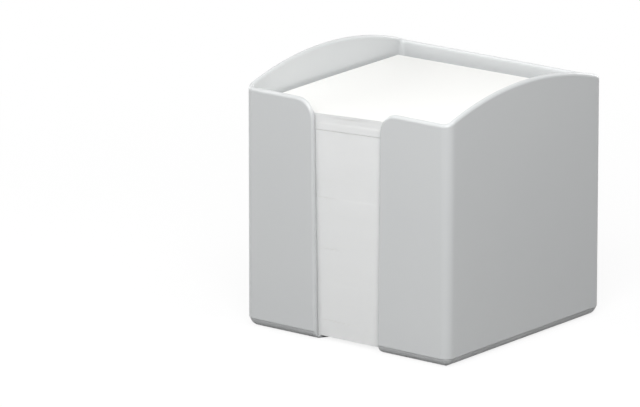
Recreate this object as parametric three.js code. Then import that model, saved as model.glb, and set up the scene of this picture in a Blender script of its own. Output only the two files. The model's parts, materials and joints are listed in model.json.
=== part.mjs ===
import * as THREE from 'three';

// Memo cube: an open moulded holder with a finger slot, filled with loose square sheets.
// Millimetres, +Z up, origin under the middle of the holder, the slot faces -Y.

// Sheets
const sheetSide = 90;
const sheetThickness = 0.113;

// Room round the stack, which stands towards the front left of its pocket
const leftClearance = 1.4;
const rightClearance = 3;
const frontClearance = 0.8;
const backClearance = 3.6;
const strayShare = 0.4;

// Holder
const rimAboveSheets = 4.9;
const crestRise = 8.2;
const wallAtFloor = 2.8;
const wallAtRim = 1.7;
const floorThickness = 1.5;
const rimRound = 1.1;

// Finger slot in the front wall and the notch it cuts in the floor
const slotWidthTop = 33.2;
const slotWidthBottom = 31.2;
const slotCornerRadius = 8;
const notchCentreOut = 2.9;

// Rounded foot of the walls, set in a little below the parting line
const footRadius = 3.6;
const footInset = 0.2;
const creaseAboveFoot = 0.2;
const footCornerRadius = 0.6;

// How finely the curves are drawn
const slotCornerSteps = 8;
const cornerSteps = 6;
const sideSteps = 18;
const footSteps = 5;
const rimSteps = 6;
const notchSteps = 14;

// Sheets in each lift, counted from the floor up; the last sheet lies on top by itself
const liftSheets = [30, 30, 44, 44, 43, 43, 43, 41, 41, 40, 40, 62, 60, 46, 45, 45, 45, 24, 24, 9];
const liftShiftShares = [
  [0.4, 0.3], [-0.3, -0.2], [0.2, 0.5], [-0.5, 0.1], [0.3, -0.4], [0.1, 0.4], [-0.2, -0.3],
  [0.6, 0.2], [-0.4, 0.5], [0.2, -0.2], [-0.6, 0.4], [0.5, -0.5], [-0.2, 0.6], [0.4, 0.1],
  [-0.5, -0.4], [0.1, 0.3], [-0.3, 0.5], [0.7, -0.6], [-0.4, 0.9], [0.8, 0.2],
];
const topSheetShiftShares = [-0.1, -0.8];

const sheetCount = liftSheets.reduce((sum, count) => sum + count, 1);
const holderWidth = sheetSide + leftClearance + rightClearance + 2 * wallAtFloor;
const holderDepth = sheetSide + frontClearance + backClearance + 2 * wallAtFloor;
const wallHeight = floorThickness + sheetCount * sheetThickness + rimAboveSheets;
const cornerRadius = footRadius + footInset + footCornerRadius;
const creaseHeight = footRadius + creaseAboveFoot;
const halfWidth = holderWidth / 2;
const halfDepth = holderDepth / 2;
const slotShoulderZ = wallHeight - slotCornerRadius;
const slotHalfTop = slotWidthTop / 2;
const slotHalfBottom = slotWidthBottom / 2;
const archRadius = (halfDepth * halfDepth + crestRise * crestRise) / (2 * crestRise);
const archCentreZ = wallHeight + crestRise - archRadius;
const footY = footInset + footRadius - halfDepth;
const notchCentreY = -halfDepth - notchCentreOut;
const stackCentreX = wallAtFloor + leftClearance + sheetSide / 2 - halfWidth;
const stackCentreY = wallAtFloor + frontClearance + sheetSide / 2 - halfDepth;
const strayX = leftClearance * strayShare;
const strayY = frontClearance * strayShare;

// The pocket's corners are tight at the floor, where square sheets sit close to the walls.
const pocketCornerAtFloor = leftClearance;
const pocketCornerAtRim = cornerRadius - wallAtRim;

function slotHalf(z) {
  const share = Math.min(z / slotShoulderZ, 1);
  return slotHalfBottom + (slotHalfTop - slotHalfBottom) * share;
}

function wallAt(z) {
  return wallAtFloor + (wallAtRim - wallAtFloor) * (z / wallHeight);
}

function pocketCorner(z) {
  return pocketCornerAtFloor + (pocketCornerAtRim - pocketCornerAtFloor) * (z / wallHeight);
}

function archZ(y) {
  return archCentreZ + Math.sqrt(archRadius * archRadius - y * y);
}

// Stations run from the right edge of the slot round the right half to the middle of the back.
// Each one knows its place on the wall, the way out of the wall and the top edge above it.
function rightStations() {
  const list = [];
  const arcCentreX = slotHalfTop + slotCornerRadius;
  for (let i = 0; i <= slotCornerSteps; i += 1) {
    const angle = (Math.PI / 2) * (i / slotCornerSteps);
    const upX = -Math.cos(angle);
    const upZ = Math.sin(angle);
    const x = arcCentreX + slotCornerRadius * upX;
    const z = slotShoulderZ + slotCornerRadius * upZ;
    list.push({ kind: 'front', x, z, up: [upX, 0, upZ], edge: i === 0 });
  }
  for (let i = 0; i <= cornerSteps; i += 1) {
    list.push({ kind: 'corner', end: -1, angle: (Math.PI / 2) * (i / cornerSteps) });
  }
  for (let i = 1; i < sideSteps; i += 1) {
    list.push({ kind: 'side', share: (2 * i) / sideSteps - 1 });
  }
  for (let i = 0; i <= cornerSteps; i += 1) {
    list.push({ kind: 'corner', end: 1, angle: (Math.PI / 2) * (1 - i / cornerSteps) });
  }
  return list;
}

// Plan point of a station for a wall face set in by `inset`, with corners of `radius`.
function planPoint(station, inset, radius) {
  const spanX = halfWidth - inset;
  const spanY = halfDepth - inset;
  if (station.kind === 'front') {
    return [station.x, -spanY];
  }
  if (station.kind === 'side') {
    return [spanX, station.share * (spanY - radius)];
  }
  const x = spanX - radius + radius * Math.sin(station.angle);
  const y = station.end * (spanY - radius + radius * Math.cos(station.angle));
  return [x, y];
}

// The direction that points up and out of the rim, square to the edge and in the wall.
function rimUp(station) {
  if (station.kind === 'front') {
    return station.up;
  }
  const [, y] = planPoint(station, 0, cornerRadius);
  const slope = -y / Math.sqrt(archRadius * archRadius - y * y);
  let along = [0, 1];
  if (station.kind === 'corner') {
    along = [-station.end * Math.cos(station.angle), Math.sin(station.angle)];
  }
  const climb = slope * along[1];
  const length = Math.hypot(1, climb);
  return [(-along[0] * climb) / length, (-along[1] * climb) / length, 1 / length];
}

function rimZ(station) {
  if (station.kind === 'front') {
    return station.z;
  }
  return archZ(planPoint(station, 0, cornerRadius)[1]);
}

// Inside heights that face the crease, the step and the start of the foot, then the floor.
const innerHeights = [creaseHeight + footInset, creaseHeight, footRadius, floorThickness];

// One station becomes a column of points down the outside and a column down the inside.
function columns(station) {
  const up = rimUp(station);
  const topZ = rimZ(station) - up[2] * rimRound;
  const shiftX = up[0] * rimRound;
  const shiftY = up[1] * rimRound;
  // Below the rim a column of the front wall drops straight down, but for the slot's own edge.
  const below = ([x, y], z) => {
    if (station.edge) {
      return [slotHalf(z) + rimRound, y, z];
    }
    return [station.kind === 'front' ? x - shiftX : x, y, z];
  };
  const outer = [];
  const outerTop = planPoint(station, 0, cornerRadius);
  outer.push([outerTop[0] - shiftX, outerTop[1] - shiftY, topZ]);
  const rows = [[0, creaseHeight], [footInset, creaseHeight]];
  for (let i = 0; i <= footSteps; i += 1) {
    const angle = (Math.PI / 2) * (i / footSteps);
    rows.push([footInset + footRadius * (1 - Math.cos(angle)), footRadius * (1 - Math.sin(angle))]);
  }
  for (const [inset, z] of rows) {
    outer.push(below(planPoint(station, inset, cornerRadius - inset), z));
  }
  const inner = [];
  const innerTop = planPoint(station, wallAt(topZ), pocketCorner(topZ));
  inner.push([innerTop[0] - shiftX, innerTop[1] - shiftY, topZ]);
  for (const z of innerHeights) {
    inner.push(below(planPoint(station, wallAt(z), pocketCorner(z)), z));
  }
  return { outer, inner, up };
}

// Half of the notch edge, one arc from the foot of the front wall back to the middle.
function notchPoints() {
  const list = [];
  const footX = slotHalfBottom + rimRound;
  const reach = Math.hypot(footX, footY - notchCentreY);
  const startAngle = Math.atan2(footY - notchCentreY, footX);
  for (let i = 1; i <= notchSteps; i += 1) {
    const angle = startAngle + (Math.PI / 2 - startAngle) * (i / notchSteps);
    list.push({
      x: reach * Math.cos(angle),
      y: notchCentreY + reach * Math.sin(angle),
      up: [-Math.cos(angle), -Math.sin(angle), 0],
    });
  }
  return list;
}

function makeHolder() {
  const positions = [];
  const lookup = new Map();
  const faces = [];
  const weldShare = 1e6;
  const addPoint = (p) => {
    const key = p.map((v) => Math.round((v / holderWidth) * weldShare)).join();
    if (!lookup.has(key)) {
      lookup.set(key, positions.length / 3);
      positions.push(...p);
    }
    return lookup.get(key);
  };
  const addFace = (a, b, c) => {
    if (a !== b && b !== c && a !== c) {
      faces.push(a, b, c);
    }
  };
  const addQuad = (a, b, c, d) => {
    addFace(a, b, c);
    addFace(a, c, d);
  };
  const mirrorPoint = (p) => [-p[0], p[1], p[2]];

  const right = rightStations().map(columns);
  const left = right.map((c) => ({
    outer: c.outer.map(mirrorPoint),
    inner: c.inner.map(mirrorPoint),
    up: mirrorPoint(c.up),
  }));
  const wall = [...right, ...left.reverse()];

  for (let i = 0; i + 1 < wall.length; i += 1) {
    const here = wall[i];
    const next = wall[i + 1];
    for (let r = 0; r + 1 < here.outer.length; r += 1) {
      const a = addPoint(here.outer[r]);
      const b = addPoint(here.outer[r + 1]);
      const c = addPoint(next.outer[r + 1]);
      const d = addPoint(next.outer[r]);
      addQuad(a, b, c, d);
    }
    for (let r = 0; r + 1 < here.inner.length; r += 1) {
      const a = addPoint(here.inner[r]);
      const b = addPoint(next.inner[r]);
      const c = addPoint(next.inner[r + 1]);
      const d = addPoint(here.inner[r + 1]);
      addQuad(a, b, c, d);
    }
  }

  // The rim is one closed loop: over the walls, down the slot and round the notch.
  const loop = wall.map((c) => ({ from: c.outer[0], to: c.inner[0], up: c.up }));
  const leftEdge = wall[wall.length - 1];
  const rightEdge = wall[0];
  const notch = notchPoints();
  const notchLoop = [
    ...notch.map((n) => ({ ...n, x: -n.x, up: mirrorPoint(n.up) })),
    ...notch.slice(0, notch.length - 1).reverse(),
  ];
  const footPairs = (column, up) => {
    const last = column.inner.length - 1;
    const pairs = column.outer.map((from, i) => ({ from, to: column.inner[Math.min(i, last)], up }));
    return pairs.slice(1);
  };
  loop.push(...footPairs(leftEdge, [1, 0, 0]));
  for (const n of notchLoop) {
    loop.push({ from: [n.x, n.y, 0], to: [n.x, n.y, floorThickness], up: n.up });
  }
  loop.push(...footPairs(rightEdge, [-1, 0, 0]).reverse());
  const strips = loop.map(({ from, to, up }) => {
    const points = [];
    for (let i = 0; i <= rimSteps; i += 1) {
      const angle = Math.PI * (i / rimSteps);
      const across = (1 - Math.cos(angle)) / 2;
      const out = rimRound * Math.sin(angle);
      points.push(from.map((v, axis) => v + (to[axis] - v) * across + up[axis] * out));
    }
    points[rimSteps] = to;
    return points.map(addPoint);
  });
  for (let i = 0; i < strips.length; i += 1) {
    const here = strips[i];
    const next = strips[(i + 1) % strips.length];
    for (let r = 0; r < rimSteps; r += 1) {
      addQuad(here[r], next[r], next[r + 1], here[r + 1]);
    }
  }

  // Underside and pocket floor, both flat: a strip of faces between the walls and the notch.
  // Seen from the middle of the slot's foot both edges turn the same way, so the faces never cross.
  const turnOf = (p) => {
    const turn = Math.atan2(p[1] - footY, p[0]);
    return turn < -Math.PI / 2 ? turn + 2 * Math.PI : turn;
  };
  const closeFlat = (outline, z, facesUp) => {
    const far = outline.map((p) => [p[0], p[1], z]);
    const near = notchLoop.map((n) => [n.x, n.y, z]).reverse();
    let i = 0;
    let j = 0;
    while (i + 1 < far.length || j + 1 < near.length) {
      const farTurn = i + 1 < far.length ? turnOf(far[i + 1]) : Infinity;
      const nearTurn = j + 1 < near.length ? turnOf(near[j + 1]) : Infinity;
      const a = addPoint(far[i]);
      const b = addPoint(near[j]);
      let c = 0;
      if (farTurn <= nearTurn) {
        i += 1;
        c = addPoint(far[i]);
      } else {
        j += 1;
        c = addPoint(near[j]);
      }
      if (facesUp) {
        addFace(a, c, b);
      } else {
        addFace(a, b, c);
      }
    }
  };
  closeFlat(wall.map((c) => c.outer[c.outer.length - 1]), 0, false);
  closeFlat(wall.map((c) => c.inner[c.inner.length - 1]), floorThickness, true);

  const geometry = new THREE.BufferGeometry();
  geometry.setAttribute('position', new THREE.Float32BufferAttribute(positions, 3));
  geometry.setIndex(faces);
  geometry.computeVertexNormals();
  return geometry;
}

const group = new THREE.Group();
group.name = 'memo_cube';

const holderMaterial = new THREE.MeshStandardMaterial({ color: 0xc9cbcb, roughness: 0.42 });
holderMaterial.name = 'holder_plastic';
const holder = new THREE.Mesh(makeHolder(), holderMaterial);
holder.name = 'holder';
group.add(holder);

function addSheets(name, lowZ, highZ, [shareX, shareY]) {
  const geometry = new THREE.BoxGeometry(sheetSide, sheetSide, highZ - lowZ);
  geometry.translate(stackCentreX + shareX * strayX, stackCentreY + shareY * strayY, 0);
  const place = geometry.attributes.position;
  for (let i = 0; i < place.count; i += 1) {
    place.setZ(i, place.getZ(i) > 0 ? highZ : lowZ);
  }
  const material = new THREE.MeshStandardMaterial({ color: 0xf7f7f5, roughness: 0.9 });
  material.name = `${name}_paper`;
  const sheets = new THREE.Mesh(geometry, material);
  sheets.name = name;
  group.add(sheets);
}

let countBelow = 0;
const levelAt = (count) => floorThickness + count * sheetThickness;
liftSheets.forEach((count, index) => {
  const name = `sheet_lift_${String(index + 1).padStart(2, '0')}`;
  addSheets(name, levelAt(countBelow), levelAt(countBelow + count), liftShiftShares[index]);
  countBelow += count;
});
addSheets('top_sheet', levelAt(countBelow), levelAt(countBelow + 1), topSheetShiftShares);

export default group;
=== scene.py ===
import json
import math

import bpy
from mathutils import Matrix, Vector


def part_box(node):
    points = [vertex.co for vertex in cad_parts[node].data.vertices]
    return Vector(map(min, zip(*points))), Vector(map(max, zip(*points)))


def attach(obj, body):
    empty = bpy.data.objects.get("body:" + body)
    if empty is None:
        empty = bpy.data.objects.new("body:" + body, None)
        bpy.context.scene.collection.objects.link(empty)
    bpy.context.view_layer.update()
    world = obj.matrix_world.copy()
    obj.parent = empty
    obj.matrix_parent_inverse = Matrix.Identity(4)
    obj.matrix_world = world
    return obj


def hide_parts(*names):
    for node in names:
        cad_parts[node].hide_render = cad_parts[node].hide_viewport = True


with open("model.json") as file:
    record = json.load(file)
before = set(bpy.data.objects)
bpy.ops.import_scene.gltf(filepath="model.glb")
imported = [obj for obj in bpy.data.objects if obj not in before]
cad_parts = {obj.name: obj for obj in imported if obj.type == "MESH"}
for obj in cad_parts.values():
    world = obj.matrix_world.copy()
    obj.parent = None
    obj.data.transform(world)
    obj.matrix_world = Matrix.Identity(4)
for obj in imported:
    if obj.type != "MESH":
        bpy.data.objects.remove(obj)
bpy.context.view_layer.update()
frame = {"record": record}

# A memo cube: a moulded holder of light grey polystyrene with some 800 loose note sheets in it.
# Sizes in the dictionaries are millimetres, turned to metres by mm.
mm = 0.001

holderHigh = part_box("holder")[1]

cameraSettings = {
    "middle": (0, 0, 50),
    "azimuth": 37.36,      # degrees round from straight in front, towards +X
    "elevation": 15.12,
    "distance": 3000,      # a long lens from far off, the verticals stay nearly parallel
    "lens": 430.3,
    "turnLeft": 0.806,     # degrees off the middle, which puts the cube right of the frame's centre
    "turnDown": 0.052,
    "clip": (50, 50000),
}


def makeCamera(s):
    def backward(azimuth, elevation):
        a, e = math.radians(azimuth), math.radians(elevation)
        return Vector((math.sin(a) * math.cos(e), -math.cos(a) * math.cos(e), math.sin(e)))

    camera = bpy.data.cameras.new("photoCamera")
    camera.lens = s["lens"]
    camera.clip_start, camera.clip_end = s["clip"][0] * mm, s["clip"][1] * mm
    stand = bpy.data.objects.new("photoCamera", camera)
    bpy.context.scene.collection.objects.link(stand)
    away = backward(s["azimuth"], s["elevation"])
    look = backward(s["azimuth"] + s["turnLeft"], s["elevation"] + s["turnDown"])
    stand.location = (Vector(s["middle"]) + away * s["distance"]) * mm
    stand.rotation_mode = "QUATERNION"
    stand.rotation_quaternion = (-look).to_track_quat("-Z", "Y")
    bpy.context.scene.camera = stand


makeCamera(cameraSettings)
print("camera ready")


def linearColor(hexValue):
    channels = [int(hexValue[i:i + 2], 16) / 255 for i in (1, 3, 5)]
    return [c / 12.92 if c <= 0.04045 else ((c + 0.055) / 1.055) ** 2.4 for c in channels] + [1.0]


def addNode(tree, kind, links=(), **settings):
    # Each link is an input of the new node and the output socket or the value that feeds it.
    node = tree.nodes.new(kind)
    for name, value in settings.items():
        setattr(node, name, value)
    for target, source in links:
        if hasattr(source, "is_output"):
            tree.links.new(source, node.inputs[target])
        else:
            node.inputs[target].default_value = source
    return node


def newMaterial(name):
    material = bpy.data.materials.new(name)
    material.use_nodes = True
    tree = material.node_tree
    tree.nodes.clear()
    output = tree.nodes.new("ShaderNodeOutputMaterial")
    shader = tree.nodes.new("ShaderNodeBsdfPrincipled")
    tree.links.new(shader.outputs["BSDF"], output.inputs["Surface"])
    return material, tree, shader


# Light grey polystyrene, injection moulded against a fine spark-eroded tool:
# an even, soft satin that spreads every highlight, with a faint grain close up.
plasticSettings = {
    "color": "#CDCFCF",
    "shadeColor": "#CACCCD",
    "roughness": (0.28, 0.37),
    "ior": 1.55,
    "grain": 0.32,         # width of the eroded pits
    "grainDepth": 0.012,
    "grainDetail": 2.5,
    "grainRoughness": 0.6,
    "grainRange": (0.3, 0.7),
    "cloud": 34,           # width of the very slight differences in tone
    "cloudDetail": 2.0,
    "cloudRoughness": 0.5,
}


def makePlastic(s):
    material, tree, shader = newMaterial("moulded polystyrene, eroded satin")
    place = addNode(tree, "ShaderNodeTexCoord").outputs["Object"]
    cloud = addNode(tree, "ShaderNodeTexNoise", [
        ("Vector", place), ("Scale", 1 / (s["cloud"] * mm)),
        ("Detail", s["cloudDetail"]), ("Roughness", s["cloudRoughness"])])
    tone = addNode(tree, "ShaderNodeMix", [("Factor", cloud.outputs["Fac"])], data_type="RGBA")
    tone.inputs["A"].default_value = linearColor(s["shadeColor"])
    tone.inputs["B"].default_value = linearColor(s["color"])
    tree.links.new(tone.outputs["Result"], shader.inputs["Base Color"])
    grain = addNode(tree, "ShaderNodeTexNoise", [
        ("Vector", place), ("Scale", 1 / (s["grain"] * mm)),
        ("Detail", s["grainDetail"]), ("Roughness", s["grainRoughness"])])
    sheen = addNode(tree, "ShaderNodeMapRange", [
        ("Value", grain.outputs["Fac"]), ("From Min", s["grainRange"][0]), ("From Max", s["grainRange"][1]),
        ("To Min", s["roughness"][0]), ("To Max", s["roughness"][1])])
    tree.links.new(sheen.outputs["Result"], shader.inputs["Roughness"])
    bump = addNode(tree, "ShaderNodeBump", [("Height", grain.outputs["Fac"]), ("Strength", 1.0),
                                            ("Distance", s["grainDepth"] * mm)])
    tree.links.new(bump.outputs["Normal"], shader.inputs["Normal"])
    shader.inputs["IOR"].default_value = s["ior"]
    return material


# Uncoated wood-free note paper, guillotined: bright, dead matt, its fibres just felt in the tone.
paperSettings = {
    "color": "#F2F2F0",
    "fibreColor": "#EEEEEC",
    "sideShadeColor": "#EFF0F0",   # painted shade: the pile's upright sides, a shade darker and cooler than the top faces
    "roughness": 0.92,
    "ior": 1.45,
    "specular": 0.25,
    "fibre": 0.5,          # width of the fibres' tufts
    "fibreDepth": 0.006,
    "fibreDetail": 4.0,
    "fibreRoughness": 0.62,
}


def makePaper(s):
    material, tree, shader = newMaterial("uncoated note paper")
    place = addNode(tree, "ShaderNodeTexCoord").outputs["Object"]
    fibre = addNode(tree, "ShaderNodeTexNoise", [
        ("Vector", place), ("Scale", 1 / (s["fibre"] * mm)),
        ("Detail", s["fibreDetail"]), ("Roughness", s["fibreRoughness"])])
    face = addNode(tree, "ShaderNodeMix", [("Factor", fibre.outputs["Fac"])], data_type="RGBA")
    face.inputs["A"].default_value = linearColor(s["fibreColor"])
    face.inputs["B"].default_value = linearColor(s["color"])
    # Painted shade: the more upright a face, the more it takes the darker side colour, so the pile's sides
    # come out darker than its top.
    normal = addNode(tree, "ShaderNodeNewGeometry").outputs["True Normal"]
    up = addNode(tree, "ShaderNodeSeparateXYZ", [(0, normal)]).outputs["Z"]
    flat = addNode(tree, "ShaderNodeMath", [(0, up)], operation="ABSOLUTE").outputs[0]
    tone = addNode(tree, "ShaderNodeMix", [("Factor", flat)], data_type="RGBA")
    tone.inputs["A"].default_value = linearColor(s["sideShadeColor"])
    tree.links.new(face.outputs["Result"], tone.inputs["B"])
    tree.links.new(tone.outputs["Result"], shader.inputs["Base Color"])
    bump = addNode(tree, "ShaderNodeBump", [("Height", fibre.outputs["Fac"]), ("Strength", 1.0),
                                            ("Distance", s["fibreDepth"] * mm)])
    tree.links.new(bump.outputs["Normal"], shader.inputs["Normal"])
    shader.inputs["Roughness"].default_value = s["roughness"]
    shader.inputs["IOR"].default_value = s["ior"]
    shader.inputs["Specular IOR Level"].default_value = s["specular"]
    return material


plastic = makePlastic(plasticSettings)
paper = makePaper(paperSettings)
print("materials ready")

holderSettings = {
    "wallHeight": 96.8,        # front and back; the side walls arch above it
    "cornerRadius": 4.1,
    "pocketCornerAtFloor": 1.4,
    "wallAtFloor": 2.8,
    "wallAtRim": 2.1,
    "floorThickness": 1.5,
    "rimRound": 1.5,           # height of the rim's rounding on top
    "slotRound": 0.9,          # and down the slot's sides and round the notch
    "rimOuterShare": 0.6,      # share of the wall's thickness on the outer side of the rim's crest
    "slotWidthTop": 32.6,
    "slotWidthBottom": 30.5,
    "slotCornerRadius": 8,
    "notchCentre": 2.9,        # how far the middle of the notch's arc lies in front of the wall
    "creaseHeight": 3.65,      # the parting line, a fine groove with the foot right below it
    "creaseDrop": 0.07,
    "creaseDepth": 0.34,
    "creaseWidth": 0.14,
    "footInset": 0.26,
    "footHeight": 3.3,         # the foot is set in, slanted and then turned under
    "footStart": 23,           # degrees of tilt with which the foot's curve starts
    "footPower": 4,            # how late it turns under
    "footReach": 3.9,          # how far in from the wall it meets the desk
    "slotSteps": 20,
    "cornerSteps": 12,
    "sideSteps": 40,
    "footSteps": 12,
    "rimSteps": 12,
    "notchSteps": 32,
    "lowRow": 2.2,             # a row of the pocket's wall, paired with the foot's curve at the slot
    "weldDigits": 5,           # points that agree to this many digits of a millimetre are one
    "sharpAngle": 32,
    "normalWeight": 100,
}


def makeHolder(s):
    halfX, halfY = holderHigh.x / mm, holderHigh.y / mm
    top = holderHigh.z / mm
    wallHeight = s["wallHeight"]
    crest = top - wallHeight
    archRadius = (halfY ** 2 + crest ** 2) / (2 * crest)
    shoulderZ = wallHeight - s["slotCornerRadius"]
    slotTop, slotBottom = s["slotWidthTop"] / 2, s["slotWidthBottom"] / 2
    cornerAtRim = s["cornerRadius"] - s["wallAtRim"]
    quarter = math.pi / 2

    def slotHalf(z):
        return slotBottom + (slotTop - slotBottom) * min(z / shoulderZ, 1)

    def wallAt(z):
        return s["wallAtFloor"] + (s["wallAtRim"] - s["wallAtFloor"]) * z / wallHeight

    def pocketCorner(z):
        return s["pocketCornerAtFloor"] + (cornerAtRim - s["pocketCornerAtFloor"]) * z / wallHeight

    def archZ(y):
        return wallHeight + crest - archRadius + math.sqrt(archRadius ** 2 - y ** 2)

    # The wall is followed from the slot's right edge round to the middle of the back.
    def stations():
        for i in range(s["slotSteps"] + 1):
            angle = quarter * i / s["slotSteps"]
            up = (-math.cos(angle), 0, math.sin(angle))
            x = slotTop + s["slotCornerRadius"] * (1 + up[0])
            z = shoulderZ + s["slotCornerRadius"] * up[2]
            yield {"kind": "front", "x": x, "z": z, "up": up, "edge": i == 0}
        for i in range(s["cornerSteps"] + 1):
            yield {"kind": "corner", "end": -1, "angle": quarter * i / s["cornerSteps"]}
        for i in range(1, s["sideSteps"]):
            yield {"kind": "side", "share": 2 * i / s["sideSteps"] - 1}
        for i in range(s["cornerSteps"] + 1):
            yield {"kind": "corner", "end": 1, "angle": quarter * (1 - i / s["cornerSteps"])}

    def plan(station, inset, radius):
        spanX, spanY = halfX - inset, halfY - inset
        if station["kind"] == "front":
            return station["x"], -spanY
        if station["kind"] == "side":
            return spanX, station["share"] * (spanY - radius)
        x = spanX - radius + radius * math.sin(station["angle"])
        return x, station["end"] * (spanY - radius + radius * math.cos(station["angle"]))

    def rimUp(station):
        if station["kind"] == "front":
            return station["up"]
        y = plan(station, 0, s["cornerRadius"])[1]
        slope = -y / math.sqrt(archRadius ** 2 - y ** 2)
        along = (0, 1)
        if station["kind"] == "corner":
            along = (-station["end"] * math.cos(station["angle"]), math.sin(station["angle"]))
        climb = slope * along[1]
        length = math.hypot(1, climb)
        return -along[0] * climb / length, -along[1] * climb / length, 1 / length

    grooveTop = s["creaseHeight"] - s["creaseDrop"]
    grooveLow = grooveTop - s["creaseWidth"]
    grooveEnd = grooveLow - s["creaseDrop"]
    slanted = math.tan(math.radians(s["footStart"])) * s["footHeight"]
    curled = s["footReach"] - s["footInset"] - slanted
    footRows = []
    for i in range(s["footSteps"] + 1):
        down = math.sin(quarter * i / s["footSteps"])
        footRows.append((s["footInset"] + slanted * down + curled * down ** s["footPower"],
                         s["footHeight"] * (1 - down)))
    outerRows = [(0, s["creaseHeight"]), (s["creaseDepth"], grooveTop), (s["creaseDepth"], grooveLow),
                 (s["footInset"], grooveEnd)] + footRows
    innerHeights = [s["creaseHeight"], grooveTop, grooveLow, grooveEnd, s["footHeight"],
                    s["lowRow"], s["floorThickness"]]

    def roundAt(station):
        # The rounding grows from the slot's side round its corner to the full rim.
        if station["kind"] != "front":
            return s["rimRound"]
        return s["slotRound"] + (s["rimRound"] - s["slotRound"]) * station["up"][2]

    def column(station):
        up = rimUp(station)
        rim = roundAt(station)
        x, y = plan(station, 0, s["cornerRadius"])
        rimZ = station["z"] if station["kind"] == "front" else archZ(y)
        topZ = rimZ - up[2] * rim
        shift = (up[0] * rim, up[1] * rim)

        def below(point, z):
            if station.get("edge"):
                return slotHalf(z) + s["slotRound"], point[1], z
            if station["kind"] == "front":
                return point[0] - shift[0], point[1], z
            return point[0], point[1], z

        outer = [(x - shift[0], y - shift[1], topZ)]
        for inset, z in outerRows:
            outer.append(below(plan(station, inset, s["cornerRadius"] - inset), z))
        x, y = plan(station, wallAt(topZ), pocketCorner(topZ))
        inner = [(x - shift[0], y - shift[1], topZ)]
        for z in innerHeights:
            inner.append(below(plan(station, wallAt(z), pocketCorner(z)), z))
        return {"outer": outer, "inner": inner, "up": up, "rim": rim}

    def mirrored(p):
        return -p[0], p[1], p[2]

    right = [column(station) for station in stations()]
    left = [{"outer": [mirrored(p) for p in c["outer"]], "inner": [mirrored(p) for p in c["inner"]],
             "up": mirrored(c["up"]), "rim": c["rim"]} for c in right]
    wall = right + left[::-1]

    # The notch in the floor: one arc from foot to foot of the slot.
    footY = -halfY + s["footReach"]
    notchX = slotBottom + s["slotRound"]
    notchY = -halfY - s["notchCentre"]
    notchRadius = math.hypot(notchX, footY - notchY)
    notchAngle = math.atan2(footY - notchY, notchX)
    notch = []
    for i in range(1, s["notchSteps"]):
        angle = notchAngle + (math.pi - 2 * notchAngle) * i / s["notchSteps"]
        up = (-math.cos(angle), -math.sin(angle), 0)
        x, y = notchRadius * math.cos(angle), notchY + notchRadius * math.sin(angle)
        notch.append({"x": x, "y": y, "up": up})
    notch.reverse()

    points, numbers, faces = [], {}, []

    def number(p):
        key = tuple(round(v, s["weldDigits"]) for v in p)
        if key not in numbers:
            numbers[key] = len(points)
            points.append(p)
        return numbers[key]

    def face(*corners):
        kept = [c for i, c in enumerate(corners) if c != corners[i - 1]]
        if len(set(kept)) > 2:
            faces.append(kept)

    for here, after in zip(wall, wall[1:]):
        for a, b, c, d in zip(here["outer"], here["outer"][1:], after["outer"][1:], after["outer"]):
            face(number(a), number(b), number(c), number(d))
        for a, b, c, d in zip(here["inner"], after["inner"], after["inner"][1:], here["inner"][1:]):
            face(number(a), number(b), number(c), number(d))

    # The rounded rim is one loop: over the walls, down the slot and round the notch.
    def footPairs(c, up):
        last = len(c["inner"]) - 1
        return [(p, c["inner"][min(i, last)], up, s["slotRound"]) for i, p in enumerate(c["outer"])][1:]

    loop = [(c["outer"][0], c["inner"][0], c["up"], c["rim"]) for c in wall]
    loop += footPairs(wall[-1], (1, 0, 0))
    for n in notch:
        loop.append(((n["x"], n["y"], 0), (n["x"], n["y"], s["floorThickness"]), n["up"], s["slotRound"]))
    loop += footPairs(wall[0], (-1, 0, 0))[::-1]
    strips = []
    for start, end, up, rim in loop:
        strip = []
        for i in range(s["rimSteps"]):
            angle = math.pi * i / s["rimSteps"]
            side = s["rimOuterShare"] if angle < quarter else 1 - s["rimOuterShare"]
            across, out = s["rimOuterShare"] - side * math.cos(angle), rim * math.sin(angle)
            strip.append(number(tuple(a + (b - a) * across + u * out for a, b, u in zip(start, end, up))))
        strips.append(strip + [number(end)])
    for here, after in zip(strips, strips[1:] + strips[:1]):
        for a, b, c, d in zip(here, after, after[1:], here[1:]):
            face(a, b, c, d)

    # Underside and pocket floor, filled between the wall's outline and the notch.
    def closeFlat(outline, z, facesUp):
        far = [number((p[0], p[1], z)) for p in outline]
        near = [number((n["x"], n["y"], z)) for n in notch]
        ring = far + near
        faces.append(ring if facesUp else ring[::-1])

    closeFlat([c["outer"][-1] for c in wall], 0, False)
    closeFlat([c["inner"][-1] for c in wall], s["floorThickness"], True)

    mesh = bpy.data.meshes.new("moulded_holder")
    mesh.from_pydata([[v * mm for v in p] for p in points], [], faces)
    mesh.validate()
    mesh.shade_smooth()
    mesh.set_sharp_from_angle(angle=math.radians(s["sharpAngle"]))
    mesh.materials.append(plastic)
    piece = bpy.data.objects.new("moulded_holder", mesh)
    bpy.context.scene.collection.objects.link(piece)
    weighted = piece.modifiers.new("weightedNormals", "WEIGHTED_NORMAL")
    weighted.keep_sharp = True
    weighted.weight = s["normalWeight"]
    return piece


holder = makeHolder(holderSettings)
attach(holder, "holder")
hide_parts("holder")
print("holder ready:", len(holder.data.polygons), "faces")

sheetSettings = {
    "side": 90,
    "thickness": 0.103,    # the rest of each sheet's 0.113 mm share of the pile is air
    "share": 0.113,
    "stray": 0.03,         # how far a sheet lies off its lift's middle
    "twist": 0.02,         # degrees that a sheet is turned
    "firstSeed": 100,
    "twistSeed": 57,       # added to a lift's seed for the turns
    "liftStray": 0.25,     # share of the lifts' own offsets that shows in the cut edges
    "lean": 0.9,           # how far the pile leans towards the slot at its top
    "linesX": 19,          # lines of points across a sheet, which let it bend
    "linesY": 3,
    "swellMiddle": 0.45,   # the loose pile stands a little fuller towards its right side
    "swellSlope": 0.4,
    "waveHeight": 1.1,     # and its front edge waves up from left to right
    "waveDrop": -0.1,
    "waveLength": 124,
    "waveStart": -1.5,
}

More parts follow.
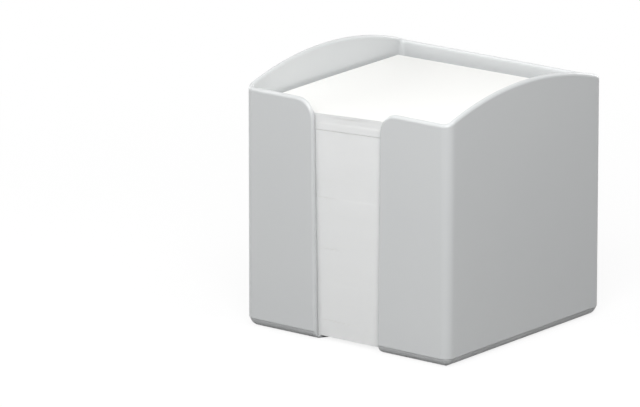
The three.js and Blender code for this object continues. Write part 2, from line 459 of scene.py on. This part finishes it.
pileLow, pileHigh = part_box("sheet_lift_01")[0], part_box("top_sheet")[1]
lowY, highY = pileLow.y, pileLow.y + sheetSettings["side"] * mm


def makeSheetTree(s):
    tree = bpy.data.node_groups.new("pile of loose sheets", "GeometryNodeTree")
    tree.interface.new_socket("Geometry", in_out="OUTPUT", socket_type="NodeSocketGeometry")
    kinds = {"Count": "Int", "Base": "Float", "Centre X": "Float", "Centre Y": "Float", "Gap": "Float",
             "Gap Middle": "Float", "Gap Reach": "Float", "Seed": "Int", "Paper": "Material"}
    inputs = {}
    for name, kind in kinds.items():
        socket = tree.interface.new_socket(name, in_out="INPUT", socket_type="NodeSocket" + kind)
        inputs[name] = socket.identifier
    given = addNode(tree, "NodeGroupInput").outputs

    def calc(kind, a, b=0.0, c=0.0):
        return addNode(tree, "ShaderNodeMath", [(0, a), (1, b), (2, c)], operation=kind).outputs[0]

    side, share = s["side"] * mm, s["share"] * mm
    sheet = addNode(tree, "GeometryNodeMeshCube", [
        ("Size", (side, side, s["thickness"] * mm)),
        ("Vertices X", s["linesX"]), ("Vertices Y", s["linesY"])])
    stack = addNode(tree, "GeometryNodeMeshLine", [("Count", given["Count"]), ("Offset", (0, 0, share))])
    first = addNode(tree, "ShaderNodeCombineXYZ", [
        ("X", given["Centre X"]), ("Y", given["Centre Y"]), ("Z", calc("ADD", given["Base"], share / 2))])
    tree.links.new(first.outputs[0], stack.inputs["Start Location"])
    reach = s["stray"] * mm
    stray = addNode(tree, "FunctionNodeRandomValue", [("Seed", given["Seed"])], data_type="FLOAT_VECTOR")
    stray.inputs["Min"].default_value = (-reach, -reach, 0)
    stray.inputs["Max"].default_value = (reach, reach, 0)
    strewn = addNode(tree, "GeometryNodeSetPosition", [
        ("Geometry", stack.outputs[0]), ("Offset", stray.outputs[0])])
    turn = math.radians(s["twist"])
    twist = addNode(tree, "FunctionNodeRandomValue", [("Seed", calc("ADD", given["Seed"], s["twistSeed"]))],
                    data_type="FLOAT_VECTOR")
    twist.inputs["Min"].default_value = (0, 0, -turn)
    twist.inputs["Max"].default_value = (0, 0, turn)
    copies = addNode(tree, "GeometryNodeInstanceOnPoints", [("Points", strewn.outputs[0]),
                                                            ("Instance", sheet.outputs["Mesh"])])
    tree.links.new(twist.outputs[0], copies.inputs["Rotation"])
    loose = addNode(tree, "GeometryNodeRealizeInstances", [("Geometry", copies.outputs[0])])

    # A lift is pressed a little thinner round one place, which opens a gap under the lift above.
    position = addNode(tree, "GeometryNodeInputPosition").outputs[0]
    place = addNode(tree, "ShaderNodeSeparateXYZ", [(0, position)]).outputs
    x, y, z = place["X"], place["Y"], place["Z"]
    away = calc("DIVIDE", calc("SUBTRACT", x, given["Gap Middle"]), given["Gap Reach"])
    bell = calc("MAXIMUM", calc("SUBTRACT", 1.0, calc("MULTIPLY", away, away)), 0.0)
    height = calc("MULTIPLY", given["Count"], share)
    upShare = calc("DIVIDE", calc("SUBTRACT", z, given["Base"]), height)
    drop = calc("MULTIPLY", calc("MULTIPLY", bell, upShare), calc("MULTIPLY", given["Gap"], -1.0))
    # The pile swells and leans with its height, fully on top and not at all at the floor.
    front = calc("DIVIDE", calc("SUBTRACT", highY, y), highY - lowY)
    frontShare = calc("MULTIPLY", front, front)
    backSwell = calc("MULTIPLY_ADD", x, s["swellSlope"] * mm / (side / 2), s["swellMiddle"] * mm)
    turnX = calc("MULTIPLY", calc("SUBTRACT", x, s["waveStart"] * mm), 2 * math.pi / (s["waveLength"] * mm))
    wave = calc("MULTIPLY_ADD", calc("SINE", turnX), s["waveHeight"] * mm, s["waveDrop"] * mm)
    swell = calc("ADD", calc("MULTIPLY", backSwell, calc("SUBTRACT", 1.0, frontShare)),
                 calc("MULTIPLY", wave, frontShare))
    pileShare = calc("DIVIDE", calc("SUBTRACT", z, pileLow.z), pileHigh.z - pileLow.z)
    lean = calc("MULTIPLY", pileShare, -s["lean"] * mm)
    rise = calc("MULTIPLY_ADD", swell, pileShare, drop)
    shift = addNode(tree, "ShaderNodeCombineXYZ", [("Y", lean), ("Z", rise)]).outputs[0]
    pressed = addNode(tree, "GeometryNodeSetPosition", [("Geometry", loose.outputs[0]), ("Offset", shift)])
    dressed = addNode(tree, "GeometryNodeSetMaterial", [("Geometry", pressed.outputs[0]),
                                                        ("Material", given["Paper"])])
    addNode(tree, "NodeGroupOutput", [(0, dressed.outputs[0])])
    return tree, inputs


sheetTree, sheetInputs = makeSheetTree(sheetSettings)

# Gaps seen in the slot: the lift below the gap, then the gap's height, its middle along X and its reach
gaps = {
    "sheet_lift_02": (0.16, -6.5, 9),
    "sheet_lift_08": (0.14, -9.5, 7),
    "sheet_lift_12": (0.12, -14, 9),
    "sheet_lift_13": (0.12, -16, 7),
    "sheet_lift_17": (0.18, 0, 70),
    "sheet_lift_19": (0.17, -0.8, 7),
}
noGap = (0.0, 0, 50)


def makeSheets(node, body, seed, s):
    low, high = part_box(node)
    centre = (low + high) / 2
    pileMiddle = (pileLow + pileHigh) / 2
    centre = pileMiddle + (centre - pileMiddle) * s["liftStray"]
    count = round((high.z - low.z) / (s["share"] * mm))
    gap, gapMiddle, gapReach = gaps.get(node, noGap)
    name = node.replace("sheet_lift", "sheets") if count > 1 else "loose_top_sheet"
    maker = bpy.data.objects.new(name + "_maker", bpy.data.meshes.new(name + "_maker"))
    bpy.context.scene.collection.objects.link(maker)
    modifier = maker.modifiers.new("pile", "NODES")
    modifier.node_group = sheetTree
    values = {"Count": count, "Base": low.z, "Centre X": centre.x, "Centre Y": centre.y, "Gap": gap * mm,
              "Gap Middle": gapMiddle * mm, "Gap Reach": gapReach * mm, "Seed": seed, "Paper": paper}
    for key, value in values.items():
        modifier[sheetInputs[key]] = value
    evaluated = maker.evaluated_get(bpy.context.evaluated_depsgraph_get())
    mesh = bpy.data.meshes.new_from_object(evaluated)
    bpy.data.objects.remove(maker)
    mesh.name = name
    mesh.shade_flat()
    piece = bpy.data.objects.new(name, mesh)
    bpy.context.scene.collection.objects.link(piece)
    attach(piece, body)
    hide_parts(node)
    return count


sheetTotal = 0
bodyNodes = frame["record"]["behaviour"]["bodies"]
for bodyName, nodeNames in bodyNodes.items():
    for nodeName in nodeNames:
        if nodeName != "holder":
            seed = sheetSettings["firstSeed"] + sheetTotal
            sheetTotal += makeSheets(nodeName, bodyName, seed, sheetSettings)
print("sheets ready:", sheetTotal)

lightSettings = {
    "world": 0.12,
    "aim": (0, 0, 50),
    "boxes": {                 # softboxes round the table, azimuth as for the camera
        "keyBox": {"azimuth": 34, "elevation": 35, "distance": 900, "size": 500, "power": 6.0},
        "frontBox": {"azimuth": 0, "elevation": 40, "distance": 750, "size": 500, "power": 0.6},
        "leftBox": {"azimuth": -40, "elevation": 42, "distance": 700, "size": 500, "power": 1.35},
        "rightBox": {"azimuth": 92, "elevation": 60, "distance": 600, "size": 400, "power": 1.15},
        "farBox": {"azimuth": 120, "elevation": 40, "distance": 900, "size": 700, "power": 0.4},
        "backBox": {"azimuth": 174, "elevation": 13, "distance": 900, "size": 350, "power": 2.2},
        "hindBox": {"azimuth": 268, "elevation": 13, "distance": 900, "size": 350, "power": 2.4},
    },
}


def makeLight(name, s):
    lamp = bpy.data.lights.new(name, "AREA")
    lamp.shape = "SQUARE"
    lamp.size = s["size"] * mm
    lamp.energy = s["power"]
    box = bpy.data.objects.new(name, lamp)
    bpy.context.scene.collection.objects.link(box)
    a, e = math.radians(s["azimuth"]), math.radians(s["elevation"])
    away = Vector((math.sin(a) * math.cos(e), -math.cos(a) * math.cos(e), math.sin(e)))
    box.location = (Vector(lightSettings["aim"]) + away * s["distance"]) * mm
    box.rotation_mode = "QUATERNION"
    box.rotation_quaternion = away.to_track_quat("Z", "Y")


stageSettings = {
    "reach": 6000,
    "white": "#FFFFFF",
    "lightingColor": "#6A6A6A",   # what the floor throws back on the cube, a plain grey
    "roughness": 0.9,
    "nearWhite": 0.86,            # share of plain white close to the cube, and all of it far off
    "nearReach": 80,
    "farReach": 400,
}


def seenRays(tree):
    # 1 for what the camera sees, also in a glossy or a clear surface, and 0 for what lights the cube.
    ray = addNode(tree, "ShaderNodeLightPath").outputs
    shown = addNode(tree, "ShaderNodeMath", [(0, ray["Is Camera Ray"]), (1, ray["Is Glossy Ray"])],
                    operation="MAXIMUM").outputs[0]
    return addNode(tree, "ShaderNodeMath", [(0, shown), (1, ray["Is Transmission Ray"])],
                   operation="MAXIMUM").outputs[0]


def makeStage(s):
    floorMesh = bpy.data.meshes.new("floor")
    reach = s["reach"] * mm
    floorMesh.from_pydata([(-reach, -reach, 0), (reach, -reach, 0), (reach, reach, 0), (-reach, reach, 0)],
                          [], [(0, 1, 2, 3)])
    floor = bpy.data.objects.new("floor", floorMesh)
    bpy.context.scene.collection.objects.link(floor)
    material, tree, shader = newMaterial("white studio floor")
    seen = seenRays(tree)
    # The camera sees a white floor with the cube's faint shadow, and other rays meet a plain grey.
    tone = addNode(tree, "ShaderNodeMix", [("Factor", seen)], data_type="RGBA")
    tone.inputs["A"].default_value = linearColor(s["lightingColor"])
    tone.inputs["B"].default_value = linearColor(s["white"])
    tree.links.new(tone.outputs["Result"], shader.inputs["Base Color"])
    shader.inputs["Roughness"].default_value = s["roughness"]
    shader.inputs["Specular IOR Level"].default_value = 0.0
    white = addNode(tree, "ShaderNodeEmission", [("Color", linearColor(s["white"])), ("Strength", 1.0)])
    place = addNode(tree, "ShaderNodeTexCoord").outputs["Object"]
    away = addNode(tree, "ShaderNodeVectorMath", [(0, place)], operation="LENGTH")
    # Close to the cube the gloss sees the floor with its shadow, and far off plain white.
    camera = addNode(tree, "ShaderNodeLightPath").outputs["Is Camera Ray"]
    near = addNode(tree, "ShaderNodeMath", [(0, camera), (1, s["nearWhite"])],
                   operation="MULTIPLY").outputs[0]
    level = addNode(tree, "ShaderNodeMapRange", [
        ("Value", away.outputs["Value"]),
        ("From Min", s["nearReach"] * mm), ("From Max", s["farReach"] * mm),
        ("To Min", near), ("To Max", 1.0)], interpolation_type="SMOOTHSTEP")
    lift = addNode(tree, "ShaderNodeMath", [(0, seen), (1, level.outputs["Result"])], operation="MULTIPLY")
    lifted = addNode(tree, "ShaderNodeMixShader", [(0, lift.outputs[0]), (1, shader.outputs[0]),
                                                   (2, white.outputs[0])])
    tree.links.new(lifted.outputs[0], tree.nodes["Material Output"].inputs["Surface"])
    floorMesh.materials.append(material)

    world = bpy.data.worlds.new("studio")
    bpy.context.scene.world = world
    world.use_nodes = True
    tree = world.node_tree
    tree.nodes.clear()
    strength = addNode(tree, "ShaderNodeMix", [("Factor", seenRays(tree))], data_type="FLOAT")
    strength.inputs["A"].default_value = lightSettings["world"]
    strength.inputs["B"].default_value = 1.0
    sky = addNode(tree, "ShaderNodeBackground", [
        ("Color", linearColor(s["white"])), ("Strength", strength.outputs["Result"])])
    addNode(tree, "ShaderNodeOutputWorld", [("Surface", sky.outputs[0])])


makeStage(stageSettings)
for boxName, boxSettings in lightSettings["boxes"].items():
    makeLight(boxName, boxSettings)
bpy.context.scene.view_settings.view_transform = "Standard"
print("stage and lights ready")
